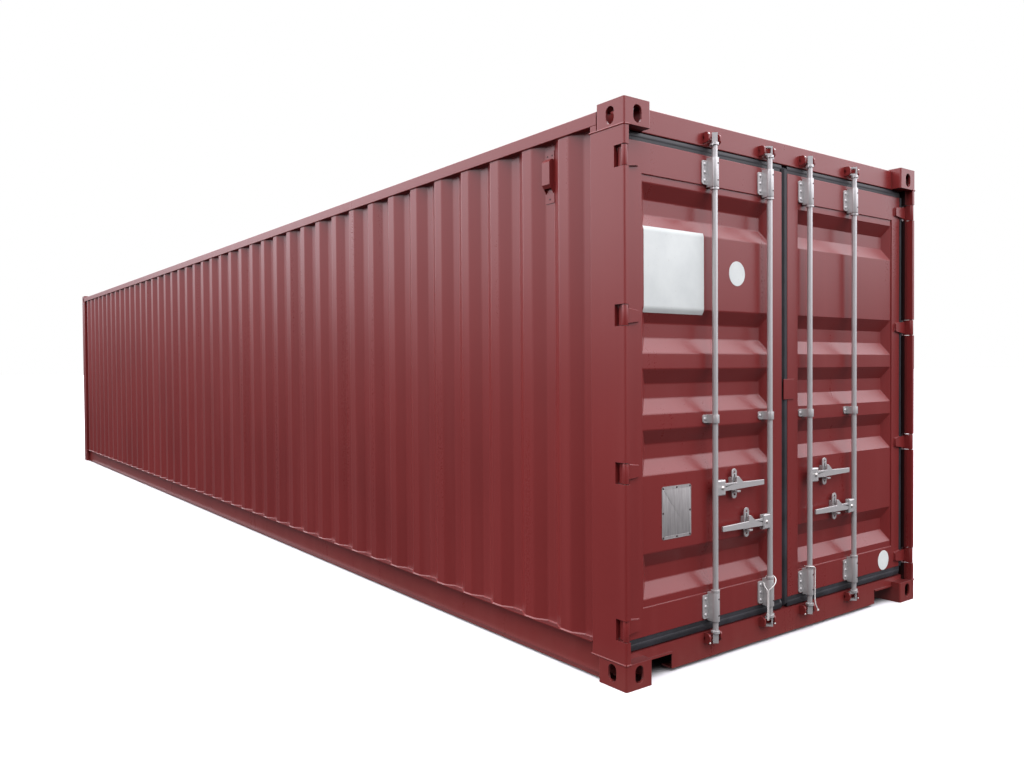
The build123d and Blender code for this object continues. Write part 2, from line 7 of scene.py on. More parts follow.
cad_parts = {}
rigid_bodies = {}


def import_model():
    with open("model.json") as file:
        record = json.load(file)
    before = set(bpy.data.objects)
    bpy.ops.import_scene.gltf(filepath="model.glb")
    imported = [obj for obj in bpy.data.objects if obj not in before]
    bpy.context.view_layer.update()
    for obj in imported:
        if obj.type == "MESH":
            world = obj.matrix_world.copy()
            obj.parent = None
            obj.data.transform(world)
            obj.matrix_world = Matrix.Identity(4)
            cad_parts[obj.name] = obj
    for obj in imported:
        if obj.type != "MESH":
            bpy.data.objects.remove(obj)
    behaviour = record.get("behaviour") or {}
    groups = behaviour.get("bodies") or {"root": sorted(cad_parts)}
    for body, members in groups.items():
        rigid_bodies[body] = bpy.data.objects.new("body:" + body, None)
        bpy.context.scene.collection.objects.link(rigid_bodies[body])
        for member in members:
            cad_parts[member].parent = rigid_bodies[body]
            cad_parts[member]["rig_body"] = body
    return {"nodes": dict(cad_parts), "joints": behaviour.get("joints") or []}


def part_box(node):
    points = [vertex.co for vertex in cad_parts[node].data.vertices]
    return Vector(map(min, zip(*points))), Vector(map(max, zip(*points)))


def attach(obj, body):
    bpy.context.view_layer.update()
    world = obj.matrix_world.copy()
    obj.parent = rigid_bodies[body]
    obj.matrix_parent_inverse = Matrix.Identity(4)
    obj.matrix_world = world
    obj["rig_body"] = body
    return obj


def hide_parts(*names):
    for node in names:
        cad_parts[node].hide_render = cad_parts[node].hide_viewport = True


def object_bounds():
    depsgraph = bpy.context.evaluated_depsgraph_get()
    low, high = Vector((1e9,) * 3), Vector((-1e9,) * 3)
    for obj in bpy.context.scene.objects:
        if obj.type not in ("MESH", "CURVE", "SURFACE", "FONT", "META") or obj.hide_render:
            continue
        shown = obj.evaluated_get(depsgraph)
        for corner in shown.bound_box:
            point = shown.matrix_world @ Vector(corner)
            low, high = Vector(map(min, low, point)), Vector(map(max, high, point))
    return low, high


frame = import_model()
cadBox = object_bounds()
nodes = frame["nodes"]
print("frame loaded with", len(nodes), "nodes")


class Wire:  # a shader socket that can be used in sums
    def __init__(self, finish, socket):
        self.finish = finish
        self.socket = socket

    def math(self, operation, first, second):
        return self.finish.node("ShaderNodeMath", {"operation": operation}, {0: first, 1: second})

    def __add__(self, other):
        return self.math("ADD", self, other)

    def __radd__(self, other):
        return self.math("ADD", other, self)

    def __sub__(self, other):
        return self.math("SUBTRACT", self, other)

    def __rsub__(self, other):
        return self.math("SUBTRACT", other, self)

    def __mul__(self, other):
        return self.math("MULTIPLY", self, other)

    def __rmul__(self, other):
        return self.math("MULTIPLY", other, self)

    def __abs__(self):
        return self.math("ABSOLUTE", self, 0.0)


class Nodes:  # makes and links the nodes of one tree
    def __init__(self, tree):
        self.tree = tree

    def node(self, kind, settings=None, inputs=None, out=0):
        made = self.tree.nodes.new(kind)
        for key, value in (settings or {}).items():
            if key == "stops":
                for stop, (spot, shade) in zip(made.color_ramp.elements, value):
                    stop.position = spot
                    stop.color = (shade, shade, shade, 1)
            else:
                setattr(made, key, value)
        for key, value in (inputs or {}).items():
            self.feed(made.inputs[key], value)
        return Wire(self, made.outputs[out])

    def feed(self, socket, value):
        if isinstance(value, Wire):
            self.tree.links.new(value.socket, socket)
        else:
            socket.default_value = value

    def part(self, vector, axis):
        return self.node("ShaderNodeSeparateXYZ", inputs={0: vector}, out=axis)

    def step(self, value, span, first, last):  # a soft change from first to last over a span
        inputs = {"Value": value, "From Min": span[0], "From Max": span[1], "To Min": first, "To Max": last}
        return self.node("ShaderNodeMapRange", {"interpolation_type": "SMOOTHSTEP"}, inputs)

    def mix(self, factor, first, second):
        inputs = {"Factor": factor, 6: first, 7: second}  # sockets 6 and 7 take the colours
        return self.node("ShaderNodeMix", {"data_type": "RGBA"}, inputs, out=2)


class Finish(Nodes):  # one material and the nodes that make it
    def __init__(self, name, fixed=None):
        self.material = bpy.data.materials.new(name)
        self.material.use_nodes = True
        super().__init__(self.material.node_tree)
        self.shader = self.tree.nodes["Principled BSDF"]
        self.place = self.node("ShaderNodeTexCoord", out="Object")
        for socket, value in (fixed or {}).items():
            self.shader.inputs[socket].default_value = value

    def noise(self, scale, detail=3.0, stretch=(1, 1, 1), rough=0.55):
        spot = self.place
        if stretch != (1, 1, 1):
            spot = self.node("ShaderNodeMapping", inputs={"Vector": spot, "Scale": stretch})
        inputs = {"Vector": spot, "Scale": scale, "Detail": detail, "Roughness": rough}
        return self.node("ShaderNodeTexNoise", inputs=inputs)

    def ramp(self, value, *stops):
        return self.node("ShaderNodeValToRGB", {"stops": stops}, {"Fac": value})

    def axis(self, name):
        return self.part(self.place, name)

    def bump(self, height, distance, strength, under=None):
        inputs = {"Height": height, "Distance": distance, "Strength": strength}
        if under:
            inputs["Normal"] = under
        return self.node("ShaderNodeBump", inputs=inputs)

    def show(self, tone, rough, skin=None):
        self.feed(self.shader.inputs["Base Color"], tone)
        self.feed(self.shader.inputs["Roughness"], rough)
        if skin:
            self.feed(self.shader.inputs["Normal"], skin)
        return self.material


# In these finishes a noise is a scale, a detail, a stretch and a roughness,
# a ramp is its two stops, and a bump is a distance and a strength
paint = {
    "base": (0.170, 0.0190, 0.0180, 1),
    "deep": (0.138, 0.0150, 0.0145, 1),
    "chalk": (0.225, 0.040, 0.038, 1),
    "dust": (0.240, 0.120, 0.095, 1),
    # a lighter copy of the paint: painted light towards the top
    "paintedLight": (0.205, 0.0235, 0.0225, 1),
    "roof": (0.095, 0.0150, 0.0145, 1),
    # near-black painted shade inside the castings and behind the posts' hooks
    "hollow": (0.012, 0.0030, 0.0030, 1),
    "cloud": (0.7, 4), "cloudRamp": ((0.35, 0.0), (0.7, 1.0)), "cloudShade": 0.4,
    "runs": (1.0, 3, (9, 9, 0.35)), "runsRamp": ((0.52, 0.0), (0.8, 0.3)), "runsRough": 0.10,
    "speck": (160, 2), "speckRough": 0.05,
    "splash": (14, 4), "splashRamp": ((0.0, 0.22), (0.2, 0.0)),
    "paintedLightRise": (0.2, 2.8), "level": (0.90, 0.98), "fade": 0.014,
    "gloss": 0.22, "ior": 1.5, "sheen": 0.5, "roofSheen": 0.18,
    "skin": (420, 2), "skinBump": (0.0004, 0.22),
    "sheet": (2.2, 2), "sheetBump": (0.02, 0.05),
    "scales": (130, 2), "scalesBump": (0.002, 0.8),
}


def maroonPaint(name="maroonPaint", top="paintedLight", sheen="sheen", welded=False, hollow=None):
    coat = Finish(name, {"IOR": paint["ior"], "Specular IOR Level": paint[sheen]})
    height = coat.axis("Z")
    cloud = coat.noise(*paint["cloud"])
    runs = coat.noise(*paint["runs"])
    speck = coat.noise(*paint["speck"])
    tone = coat.mix(coat.ramp(cloud, *paint["cloudRamp"]), paint["base"], paint["deep"])
    tone = coat.mix(coat.ramp(runs, *paint["runsRamp"]), tone, paint["chalk"])
    # painted light: the paint grows lighter towards the top, broken by the cloud pattern
    paintedLight = coat.step(height, paint["paintedLightRise"], 0, 1) * (1 - paint["cloudShade"] * cloud)
    tone = coat.mix(paintedLight, tone, paint[top])
    splash = coat.ramp(height, *paint["splashRamp"]) * coat.noise(*paint["splash"])
    tone = coat.mix(splash, tone, paint["dust"])
    facing = coat.node("ShaderNodeNewGeometry", out="Normal")
    levelFacing = coat.step(coat.part(facing, "Z"), paint["level"], 0, 1)  # level, upward-facing faces get the darker, duller roof tone
    tone = coat.mix(levelFacing, tone, paint["roof"])
    if hollow:  # painted shade: a dark inside or gap, between these distances from the middle
        inside = 1.0
        for axis, low, high, (near, far) in zip("XYZ", *cadBox, hollow):
            away = abs(coat.axis(axis) - (low + high) / 2)
            inside = coat.step(away, (far - paint["fade"], far), 1, 0) * inside
            inside = coat.step(away, (near, near + paint["fade"]), 0, 1) * inside
        tone = coat.mix(inside, tone, paint["hollow"])
    rough = paint["gloss"] + paint["runsRough"] * runs + paint["speckRough"] * speck
    skin = coat.bump(coat.noise(*paint["skin"]), *paint["skinBump"])
    skin = coat.bump(coat.noise(*paint["sheet"]), *paint["sheetBump"], skin)
    if welded:  # the scales of a weld bead
        skin = coat.bump(coat.noise(*paint["scales"]), *paint["scalesBump"], skin)
    return coat.show(tone, rough, skin)


zinc = {
    # clean is the lighter top tone: cleaner zinc with a painted highlight; low is the tone at the bottom
    "clean": (0.58, 0.57, 0.565, 1), "dull": (0.45, 0.44, 0.43, 1), "low": (0.455, 0.445, 0.435, 1),
    "metal": 0.4, "spangle": 150.0, "flake": 0.18, "cleanAndLitRise": (0.4, 2.3),
    "streak": (60, 3, (1, 1, 0.04)), "streakRamp": ((0.45, 0.0), (0.75, 0.45)),
    "gloss": 0.27, "flakeRough": 0.03, "streakRough": 0.08,
    "skin": (70, 2), "skinBump": (0.0004, 0.03),
}


def galvanisedSteel():
    coat = Finish("galvanisedSteel", {"Metallic": zinc["metal"]})
    spangle = {"Vector": coat.place, "Scale": zinc["spangle"]}
    cells = coat.node("ShaderNodeTexVoronoi", inputs=spangle, out="Color")
    flake = coat.node("ShaderNodeSeparateColor", inputs={0: cells})
    streak = coat.noise(*zinc["streak"])
    # lighter towards the top: partly cleaner zinc, partly painted highlight
    tone = coat.mix(coat.step(coat.axis("Z"), zinc["cleanAndLitRise"], 0, 1), zinc["low"], zinc["clean"])
    dull = zinc["flake"] * flake + coat.ramp(streak, *zinc["streakRamp"])
    tone = coat.mix(dull, tone, zinc["dull"])
    rough = zinc["gloss"] + zinc["flakeRough"] * flake + zinc["streakRough"] * streak
    return coat.show(tone, rough, coat.bump(coat.noise(*zinc["skin"]), *zinc["skinBump"]))


# Finishes with one pattern of wear between two tones; rough is the roughness and what wear adds to it
rubber = {
    "tones": ((0.008, 0.008, 0.010, 1), (0.022, 0.022, 0.028, 1)),
    "wear": (9, 4), "wearRamp": ((0.4, 0.1), (0.7, 1.0)), "rough": (0.40, 0.25),
    "skin": (500, 2), "skinBump": (0.0005, 0.3),
}
plywood = {
    "tones": ((0.42, 0.27, 0.15, 1), (0.20, 0.11, 0.055, 1)),
    "wear": (5, 6, (0.35, 12, 1), 0.65), "wearRamp": ((0.3, 0.0), (0.75, 1.0)), "rough": (0.55, 0.2),
    "skinBump": (0.0012, 0.5),
    "scuff": (0.12, 0.085, 0.06, 1), "scuffs": (1.6, 5, (0.4, 1, 1)), "scuffRamp": ((0.5, 0.0), (0.75, 0.6)),
}
underside = {
    "tones": ((0.030, 0.024, 0.023, 1), (0.075, 0.050, 0.044, 1)),
    "wear": (7, 5), "wearRamp": ((0.35, 0.0), (0.8, 1.0)), "rough": (0.55, 0.25),
    "skin": (90, 4), "skinBump": (0.002, 0.4),
}
film = {
    "tones": ((0.655, 0.695, 0.665, 1), (0.555, 0.595, 0.575, 1)),
    "wear": (6, 4), "wearRamp": ((0.35, 0.0), (0.8, 1.0)), "rough": (0.32, 0.2),
    "skinBump": (0.001, 0.1),
    "scuff": paint["dust"], "scuffs": (60, 3), "scuffRamp": ((0.66, 0.0), (0.8, 0.35)),
}
brushed = {
    "tones": ((0.40, 0.385, 0.375, 1), (0.27, 0.26, 0.255, 1)), "metal": 0.55,
    "wear": (14, 4, (1, 22, 1)), "wearRamp": ((0.35, 0.0), (0.7, 1.0)), "rough": (0.42, 0.2),
    "skinBump": (0.0004, 0.25),
}
steel = {
    "metal": 0.9, "wear": (40, 4, (1, 1, 3)), "wearRamp": ((0.0, 0.0), (1.0, 1.0)), "rough": (0.3, 0.3),
    "skinBump": (0.0005, 0.3),
}
pinSteel = {**steel, "tones": ((0.42, 0.40, 0.38, 1), (0.16, 0.08, 0.06, 1))}
tieSteel = {**steel, "tones": ((0.78, 0.76, 0.72, 1), (0.62, 0.60, 0.57, 1)), "metal": 0.1}
brightSteel = {**steel, "tones": ((0.80, 0.79, 0.77, 1), (0.50, 0.44, 0.40, 1))}
darkSteel = {**steel, "tones": ((0.10, 0.07, 0.07, 1), (0.04, 0.025, 0.025, 1))}


def wornFinish(name, look):
    coat = Finish(name, {"Metallic": look.get("metal", 0.0)})
    wear = coat.noise(*look["wear"])
    tone = coat.mix(coat.ramp(wear, *look["wearRamp"]), *look["tones"])
    if "scuff" in look:
        scuffs = coat.ramp(coat.noise(*look["scuffs"]), *look["scuffRamp"])
        tone = coat.mix(scuffs, tone, look["scuff"])
    clean, worn = look["rough"]
    grain = coat.noise(*look["skin"]) if "skin" in look else wear
    return coat.show(tone, clean + worn * wear, coat.bump(grain, *look["skinBump"]))


# Distances from the middle of the box, along each axis, between which the paint is darkened as painted shade
inner = {
    "casting": ((5.928, 6.086), (1.067, 1.209), (1.1875, 1.2855)),  # painted shade inside the walls of a corner casting
    "hingeGap": ((6.0, 6.070), (1.140, 1.196), (-1.0, 1.30)),  # painted shade behind a rear post's hook, at all heights
}
finishes = {  # by the frame's slots
    "maroon_paint": maroonPaint(),
    "galvanised_steel": galvanisedSteel(),
    "door_rubber": wornFinish("doorRubber", rubber),
    "floor_plywood": wornFinish("floorPlywood", plywood),
    "underside_coat": wornFinish("undersideCoat", underside),
    "pin_steel": wornFinish("pinSteel", pinSteel),
}
coats = {  # for the pieces made here
    "weld": maroonPaint("weldPaint", welded=True),
    "roof": maroonPaint("roofPaint", "roof", "roofSheen"),  # darker and duller than the walls, with less sheen
    "casting": maroonPaint("castingPaintShadedInside", hollow=inner["casting"]),
    "post": maroonPaint("postPaintShadedGap", hollow=inner["hingeGap"]),
    "tie": wornFinish("tieWire", tieSteel),
    "bright": wornFinish("brightSteel", brightSteel),
    "rivet": wornFinish("darkRivet", darkSteel),
    "film": wornFinish("whiteFilm", film),
    "plate": wornFinish("plateMetal", brushed),
}
print("finishes made:", len(finishes) + len(coats))

for node in nodes.values():
    for number, slot in enumerate(node.data.materials):
        node.data.materials[number] = finishes[slot.name]


def makePiece(name, body, form, coat, sharp=40):  # sharp is an angle, or 0 for flat faces
    mesh = bpy.data.meshes.new(name)
    bmesh.ops.recalc_face_normals(form, faces=form.faces)
    for face in form.faces:
        face.smooth = sharp > 0
    form.to_mesh(mesh)
    form.free()
    held = mesh.attributes.get("custom_normal")  # a copied node's own normals no longer fit it
    if held:
        mesh.attributes.remove(held)
    if sharp:
        mesh.set_sharp_from_angle(angle=math.radians(sharp))
    mesh.materials.append(coat)
    piece = bpy.data.objects.new(name, mesh)
    bpy.context.scene.collection.objects.link(piece)
    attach(piece, body)
    return piece


merge = {"near": 1e-5, "flat": 0.5}


def copyNode(name, flatten=True):  # a CAD node's mesh with its loose triangles merged
    form = bmesh.new()
    form.from_mesh(nodes[name].data)
    bmesh.ops.remove_doubles(form, verts=form.verts, dist=merge["near"])
    if flatten:
        flat = math.radians(merge["flat"])
        bmesh.ops.dissolve_limit(form, angle_limit=flat, verts=form.verts, edges=form.edges)
    return form


def bevelEdges(form, edges, reach, segments, clamp=False):
    bmesh.ops.bevel(
        form, geom=edges, offset=reach, offset_type="OFFSET", segments=segments, profile=0.5,
        affect="EDGES", material=-1, clamp_overlap=clamp,
    )


def pick(made, kind):  # the verts, edges or faces among what an operator has made
    return [item for item in made if isinstance(item, kind)]


def aim(facing):  # turns the Z axis to face a way
    return Vector(facing).to_track_quat("Z", "Y").to_matrix().to_4x4()


def addBlock(form, low, high):
    low, high = Vector(low), Vector(high)
    place = Matrix.Translation((low + high) / 2) @ Matrix.Diagonal((*(high - low), 1))
    return bmesh.ops.create_cube(form, size=1.0, matrix=place)["verts"]


def addRod(form, start, end, radius, sides=8):
    start, end = Vector(start), Vector(end)
    place = Matrix.Translation((start + end) / 2) @ aim(end - start)
    bmesh.ops.create_cone(
        form, cap_ends=True, segments=sides, radius1=radius, radius2=radius,
        depth=(end - start).length, matrix=place,
    )


domeCut = {"around": 12, "rings": 8}


def addDome(form, spot, facing, radius, rise):
    place = Matrix.Translation(spot) @ aim(facing) @ Matrix.Diagonal((radius, radius, rise, 1))
    bmesh.ops.create_uvsphere(
        form, u_segments=domeCut["around"], v_segments=domeCut["rings"], radius=1.0, matrix=place
    )


# Folded sheets: copies of the CAD nodes with their bends rolled to a radius
folds = {
    "left_side_wall": 0.006, "right_side_wall": 0.006, "front_wall": 0.005, "roof_panel": 0.004,
    "left_door_panel": 0.006, "right_door_panel": 0.006,
}
bend = {"least": 8, "most": 80, "segments": 3}  # angles in degrees


def softenFolds(name, reach):
    form = copyNode(name)
    least, most = math.radians(bend["least"]), math.radians(bend["most"])
    bent = [edge for edge in form.edges if edge.is_manifold and least < edge.calc_face_angle() < most]
    bevelEdges(form, bent, reach, bend["segments"], clamp=True)
    coat = coats["roof"] if name == "roof_panel" else finishes["maroon_paint"]
    piece = makePiece(name + "_folded", nodes[name]["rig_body"], form, coat, sharp=0)
    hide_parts(name)


for name, reach in folds.items():
    softenFolds(name, reach)
print("sheets folded:", len(folds))

# Posts and castings: copies with a larger radius on their long upright corners
uprights = {
    "rear_corner_posts": "post", "top_corner_castings": "casting", "bottom_corner_castings": "casting",
}
corner = {"roll": 0.010, "segments": 5, "least": 60, "tall": 0.06, "near": 1e-4}


def isCorner(edge, low, high):  # an upright edge at an outer corner of the node's box
    if not edge.is_manifold or edge.calc_face_angle() < math.radians(corner["least"]):
        return False
    spots = [vert.co for vert in edge.verts]
    gaps = [min(abs(s[axis] - low[axis]), abs(s[axis] - high[axis])) for s in spots for axis in (0, 1)]
    return max(gaps) < corner["near"] and abs(spots[0].z - spots[1].z) > corner["tall"]


def rollUprights(name, coat):
    form = copyNode(name)
    low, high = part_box(name)
    corners = [edge for edge in form.edges if isCorner(edge, low, high)]
    bevelEdges(form, corners, corner["roll"], corner["segments"], clamp=True)
    piece = makePiece(name + "_rolled", "container_box", form, coats[coat], sharp=0)
    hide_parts(name)
    return piece


rolled = {name + "_rolled": rollUprights(name, coat) for name, coat in uprights.items()}
print("uprights rolled:", len(rolled))

# Rounded edges on the other CAD nodes, by a word of the node's name
edgeRound = {
    "castings_rolled": 0.003, "posts_rolled": 0.002, "front_corner": 0.005, "top_side": 0.006,
    "header": 0.004, "door_frame": 0.003, "hinges": 0.003, "guides": 0.002, "retainers": 0.0015,
    "meeting_cover": 0.0015, "handle_": 0.002,
}
edgeCut = {"segments": 3, "least": 35}


def roundEdges():
    count = 0
    for name, node in {**nodes, **rolled}.items():
        width = next((size for word, size in edgeRound.items() if word in name), None)
        if width is None:
            continue
        weld = node.modifiers.new("weld", "WELD")
        weld.merge_threshold = merge["near"]
        edge = node.modifiers.new("edge", "BEVEL")
        edge.width = width
        edge.segments = edgeCut["segments"]
        edge.limit_method = "ANGLE"
        edge.angle_limit = math.radians(edgeCut["least"])
        count += 1
    print("edges rounded on", count, "nodes")


roundEdges()

# Planes and axes taken from the frame
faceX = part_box("left_door_frame")[1][0]
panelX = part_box("left_door_panel")[1][0]
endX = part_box("rear_corner_posts")[1][0]
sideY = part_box("rear_corner_posts")[1][1]
wallLow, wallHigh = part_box("right_side_wall")
wallY = wallHigh[1]
turns = [joint for joint in frame["joints"] if joint["name"].endswith("_turn")]
barAxis = {joint["child"]: Vector(joint["pos_m"]) for joint in turns}
doorOf = {joint["child"]: joint["parent"] for joint in turns}
doors = ("left_door", "right_door")


def sidesOf(name):  # the inner and the outer side of a node on one leaf
    low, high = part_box(name)
    return sorted((low[1], high[1]), key=abs)


# Lock bars: copies of the CAD nodes with a slimmer tube
tube = {"cad": 0.0165, "slim": 0.01375, "near": 0.0001}


def slimBar(bar, axis):
    name = "lock_" + bar
    form = copyNode(name, flatten=False)
    for vert in form.verts:
        reach = Vector((vert.co.x - axis.x, vert.co.y - axis.y, 0))
        if abs(reach.length - tube["cad"]) < tube["near"]:
            vert.co += reach * (tube["slim"] / tube["cad"] - 1)
    piece = makePiece(name + "_tube", bar, form, finishes["galvanised_steel"])
    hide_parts(name)


for bar, axis in barAxis.items():
    slimBar(bar, axis)
print("bars slimmed:", len(barAxis))

# Bolt heads on the guides and straps, and dark pins in the guides' hoops
guide = {
    "half": 0.069, "plate": 0.006, "across": 0.039, "spread": 0.039, "head": 0.009, "rise": 0.0045,
    "strapHeight": 1.1705, "strapAcross": 0.034,
    "pin": 0.0042, "pinSides": 10, "pinReach": (0.018, 0.0208), "pinSpread": 0.040, "pinTurn": 3.0,
}


def makeGuideBolts(door):
    bolts, pins = bmesh.new(), bmesh.new()
    low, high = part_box(door + "_bar_guides")
    heights = (low[2] + guide["half"], high[2] - guide["half"])
    turn = math.radians(guide["pinTurn"])
    out = Vector((math.cos(turn), math.sin(turn), 0))
    for axis in [barAxis[bar] for bar in barAxis if doorOf[bar] == door]:
        spots = []
        for height in heights:
            for side in (-1, 1):
                for step in (-1, 0, 1):
                    spots.append((faceX, axis.y + side * guide["across"], height + step * guide["spread"]))
        for side in (-1, 1):
            spots.append((panelX, axis.y + side * guide["strapAcross"], guide["strapHeight"]))
        for seat, y, z in spots:
            addDome(bolts, (seat + guide["plate"], y, z), (1, 0, 0), guide["head"], guide["rise"])
        for height in heights:
            for step in (-1, 1):
                middle = Vector((axis.x, axis.y, height + step * guide["pinSpread"]))
                start, end = [middle + out * reach for reach in guide["pinReach"]]
                addRod(pins, start, end, guide["pin"], guide["pinSides"])
    makePiece(door + "_guide_bolts", door, bolts, finishes["galvanised_steel"])
    makePiece(door + "_guide_pins", door, pins, coats["rivet"])


for door in doors:
    makeGuideBolts(door)

hubRivet = {"front": 0.0125, "head": 0.010, "rise": 0.005}


def makeHubRivet(joint):
    form = bmesh.new()
    for way in (-1, 1):
        spot = Vector(joint["pos_m"]) + Vector((way * hubRivet["front"], 0, 0))
        addDome(form, spot, (way, 0, 0), hubRivet["head"], hubRivet["rise"])
    bar = joint["parent"]
    makePiece(bar + "_hub_rivet", bar, form, coats["bright"])


for joint in frame["joints"]:
    if joint["name"].endswith("_lift"):
        makeHubRivet(joint)
print("bolts, pins and rivets set")

# Tie wires twisted round two of the bars; a point is a turn from the heading, a reach and a height
tie = {
    "radius": 0.0028, "rings": 3, "order": 3, "smooth": 6,
    "tag": (0.005, 0.014, 0.009), "tagSoft": 0.0015, "tagSegments": 2,
    "strandHeading": 30.0,
    "strand": [
        (-190, 0.026, 0.346), (-120, 0.027, 0.350), (-60, 0.0275, 0.351), (-15, 0.0275, 0.347),
        (0, 0.0275, 0.330), (0, 0.0270, 0.260), (-4, 0.0265, 0.190), (-10, 0.028, 0.155),
        (0, 0.034, 0.135), (20, 0.044, 0.112),
    ],
    "loopHeading": -72.0,
    "loop": [  # the rising half, which the falling half mirrors
        (-5, 0.030, 0.128), (-5, 0.0280, 0.190), (-5, 0.0280, 0.255), (-5, 0.0290, 0.280),
        (-28, 0.0305, 0.292), (-58, 0.0315, 0.307), (-90, 0.0315, 0.325), (-125, 0.0285, 0.340),
        (-160, 0.0265, 0.347),
    ],
    "crown": (180, 0.0265, 0.349),
}


def bendWire(bar, heading, route):
    axis = barAxis[bar]
    curve = bpy.data.curves.new(bar + "_tie_line", "CURVE")
    curve.dimensions = "3D"
    curve.bevel_depth = tie["radius"]
    curve.bevel_resolution = tie["rings"]
    curve.use_fill_caps = True
    line = curve.splines.new("NURBS")
    line.points.add(len(route) - 1)
    for point, (turn, reach, z) in zip(line.points, route):
        way = math.radians(heading + turn)
        tip = Vector((axis.x + reach * math.cos(way), axis.y + reach * math.sin(way), z))
        point.co = (*tip, 1)
    line.order_u = tie["order"]
    line.use_endpoint_u = True
    line.resolution_u = tie["smooth"]
    holder = bpy.data.objects.new(bar + "_tie_line", curve)
    mesh = bpy.data.meshes.new_from_object(holder)
    form = bmesh.new()
    form.from_mesh(mesh)
    bpy.data.objects.remove(holder)
    bpy.data.meshes.remove(mesh)
    return form, tip


def makeLoopTie():
    falling = [(-turn, reach, z) for turn, reach, z in reversed(tie["loop"])]
    form, _ = bendWire("bar_2", tie["loopHeading"], tie["loop"] + [tie["crown"]] + falling)
    makePiece("bar_2_tie_wire", "bar_2", form, coats["tie"])


def makeStrandTie():
    form, tip = bendWire("bar_3", tie["strandHeading"], tie["strand"])
    half = Vector(tie["tag"]) / 2
    tag = set(addBlock(form, tip - half, tip + half))
    edges = [edge for edge in form.edges if tag.issuperset(edge.verts)]
    bevelEdges(form, edges, tie["tagSoft"], tie["tagSegments"])
    makePiece("bar_3_tie_wire", "bar_3", form, coats["tie"])


makeLoopTie()
makeStrandTie()

# Keepers with rounded cheeks, and bright tips where the cams have rubbed them
keeper = {
    "lug": 0.0095, "lugRise": 0.006, "near": 0.036, "far": 0.046, "rise": 0.025,
    "corner": 0.017, "segments": 5, "close": 1e-5,
    "wear": 0.0055, "wearBulge": 0.006, "wearIn": 0.004, "wearRise": (-0.019, 0.013),
}


def addCheek(form, low, high):
    block = set(addBlock(form, low, high))
    outer = [
        edge for edge in form.edges
        if block.issuperset(edge.verts)
        and all(high[0] - vert.co.x < keeper["close"] for vert in edge.verts)
        and abs(edge.verts[0].co.z - edge.verts[1].co.z) < keeper["close"]
    ]
    bevelEdges(form, outer, keeper["corner"], keeper["segments"])


def makeKeepers():
    k = keeper
    low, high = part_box("cam_keepers")
    tipX = high[0]
    heights = (low[2] + k["rise"], high[2] - k["rise"])
    form, tips = bmesh.new(), bmesh.new()
    for number, axis in enumerate(barAxis.values()):
        worn = -1 if number % 2 == 0 else 1  # the cheek that the cam rubs
        for z, wearRise in zip(heights, k["wearRise"]):
            lugLow = (faceX, axis.y - k["far"], z - k["lugRise"])
            lugHigh = (faceX + k["lug"], axis.y + k["far"], z + k["lugRise"])
            addBlock(form, lugLow, lugHigh)
            for side in (-1, 1):
                left, right = sorted((axis.y + side * k["near"], axis.y + side * k["far"]))
                addCheek(form, (faceX, left, z - k["rise"]), (tipX, right, z + k["rise"]))
            spot = (tipX - k["wearIn"], axis.y + worn * (k["near"] + k["far"]) / 2, z + wearRise)
            addDome(tips, spot, (1, 0, 0), k["wear"], k["wearBulge"])
    piece = makePiece("cam_keepers_rounded", "container_box", form, finishes["maroon_paint"])
    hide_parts("cam_keepers")
    makePiece("keeper_wear", "container_box", tips, coats["bright"])


makeKeepers()

# Lips of the door gaskets, which fill the gaps round the leaves; rise is a share of the reach
lip = {
    "rise": (0.0, 0.28, 0.45, 0.7, 1.0), "depth": (0.016, 0.004, 0.001, 0.001, 0.004), "back": 0.024,
    "top": 0.036, "foot": 0.050, "side": 0.023, "sideBulge": 0.004,
}


def addLip(form, start, run, out, reach, bulge=0.0):  # a rounded strip along run, with its profile going out
    rows = [(share * reach, bulge - depth) for share, depth in zip(lip["rise"], lip["depth"])]
    rows += [(reach, -lip["back"]), (0.0, -lip["back"])]
    spots = [Vector(start) + Vector(out) * along + Vector((depth, 0, 0)) for along, depth in rows]
    face = form.faces.new([form.verts.new(spot) for spot in spots])
    made = bmesh.ops.extrude_face_region(form, geom=[face])["geom"]
    bmesh.ops.translate(form, verts=pick(made, bmesh.types.BMVert), vec=run)


def makeGasketLips(door):
    form = bmesh.new()
    meeting, edge = sidesOf(door + "_frame")
    low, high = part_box(door + "_frame")
    foot, top = low[2], high[2]
    across, up = (0, meeting - edge, 0), (0, 0, top - foot)
    addLip(form, (faceX, edge, top), across, (0, 0, 1), lip["top"])
    addLip(form, (faceX, edge, foot), across, (0, 0, -1), lip["foot"])
    addLip(form, (faceX, edge, foot), up, (0, math.copysign(1, edge), 0), lip["side"], lip["sideBulge"])
    makePiece(door + "_gasket_lips", door, form, finishes["door_rubber"])


for door in doors:
    makeGasketLips(door)

# Weld beads where the posts stand on the castings, and along the hinge blades
bead = {"radius": 0.0055, "sunk": 0.0025, "hook": 0.028}


def makePostBeads():
    form = bmesh.new()
    rear, front = endX - bead["sunk"], bead["sunk"] - endX
    rearRoot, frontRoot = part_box("rear_corner_posts")[0][0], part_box("front_corner_posts")[1][0]
    outer = sideY - bead["sunk"]
    rearEnd, frontEnd = outer - bead["hook"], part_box("front_wall")[1][1] - bead["sunk"]
    runs = (
        ((rearRoot, outer), (rear, outer)), ((rear, outer), (rear, rearEnd)),
        ((front, outer), (frontRoot, outer)), ((front, outer), (front, frontEnd)),
    )
    for side in (-1, 1):
        for z in (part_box("bottom_corner_castings")[1][2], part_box("top_corner_castings")[0][2]):
            for (startX, startY), (stopX, stopY) in runs:
                addRod(form, (startX, side * startY, z), (stopX, side * stopY, z), bead["radius"])
    makePiece("post_weld_beads", "container_box", form, coats["weld"])


hinge = {"count": 4, "half": 0.045, "root": 0.0310, "tip": 0.0235, "bead": 0.0042, "sides": 10}


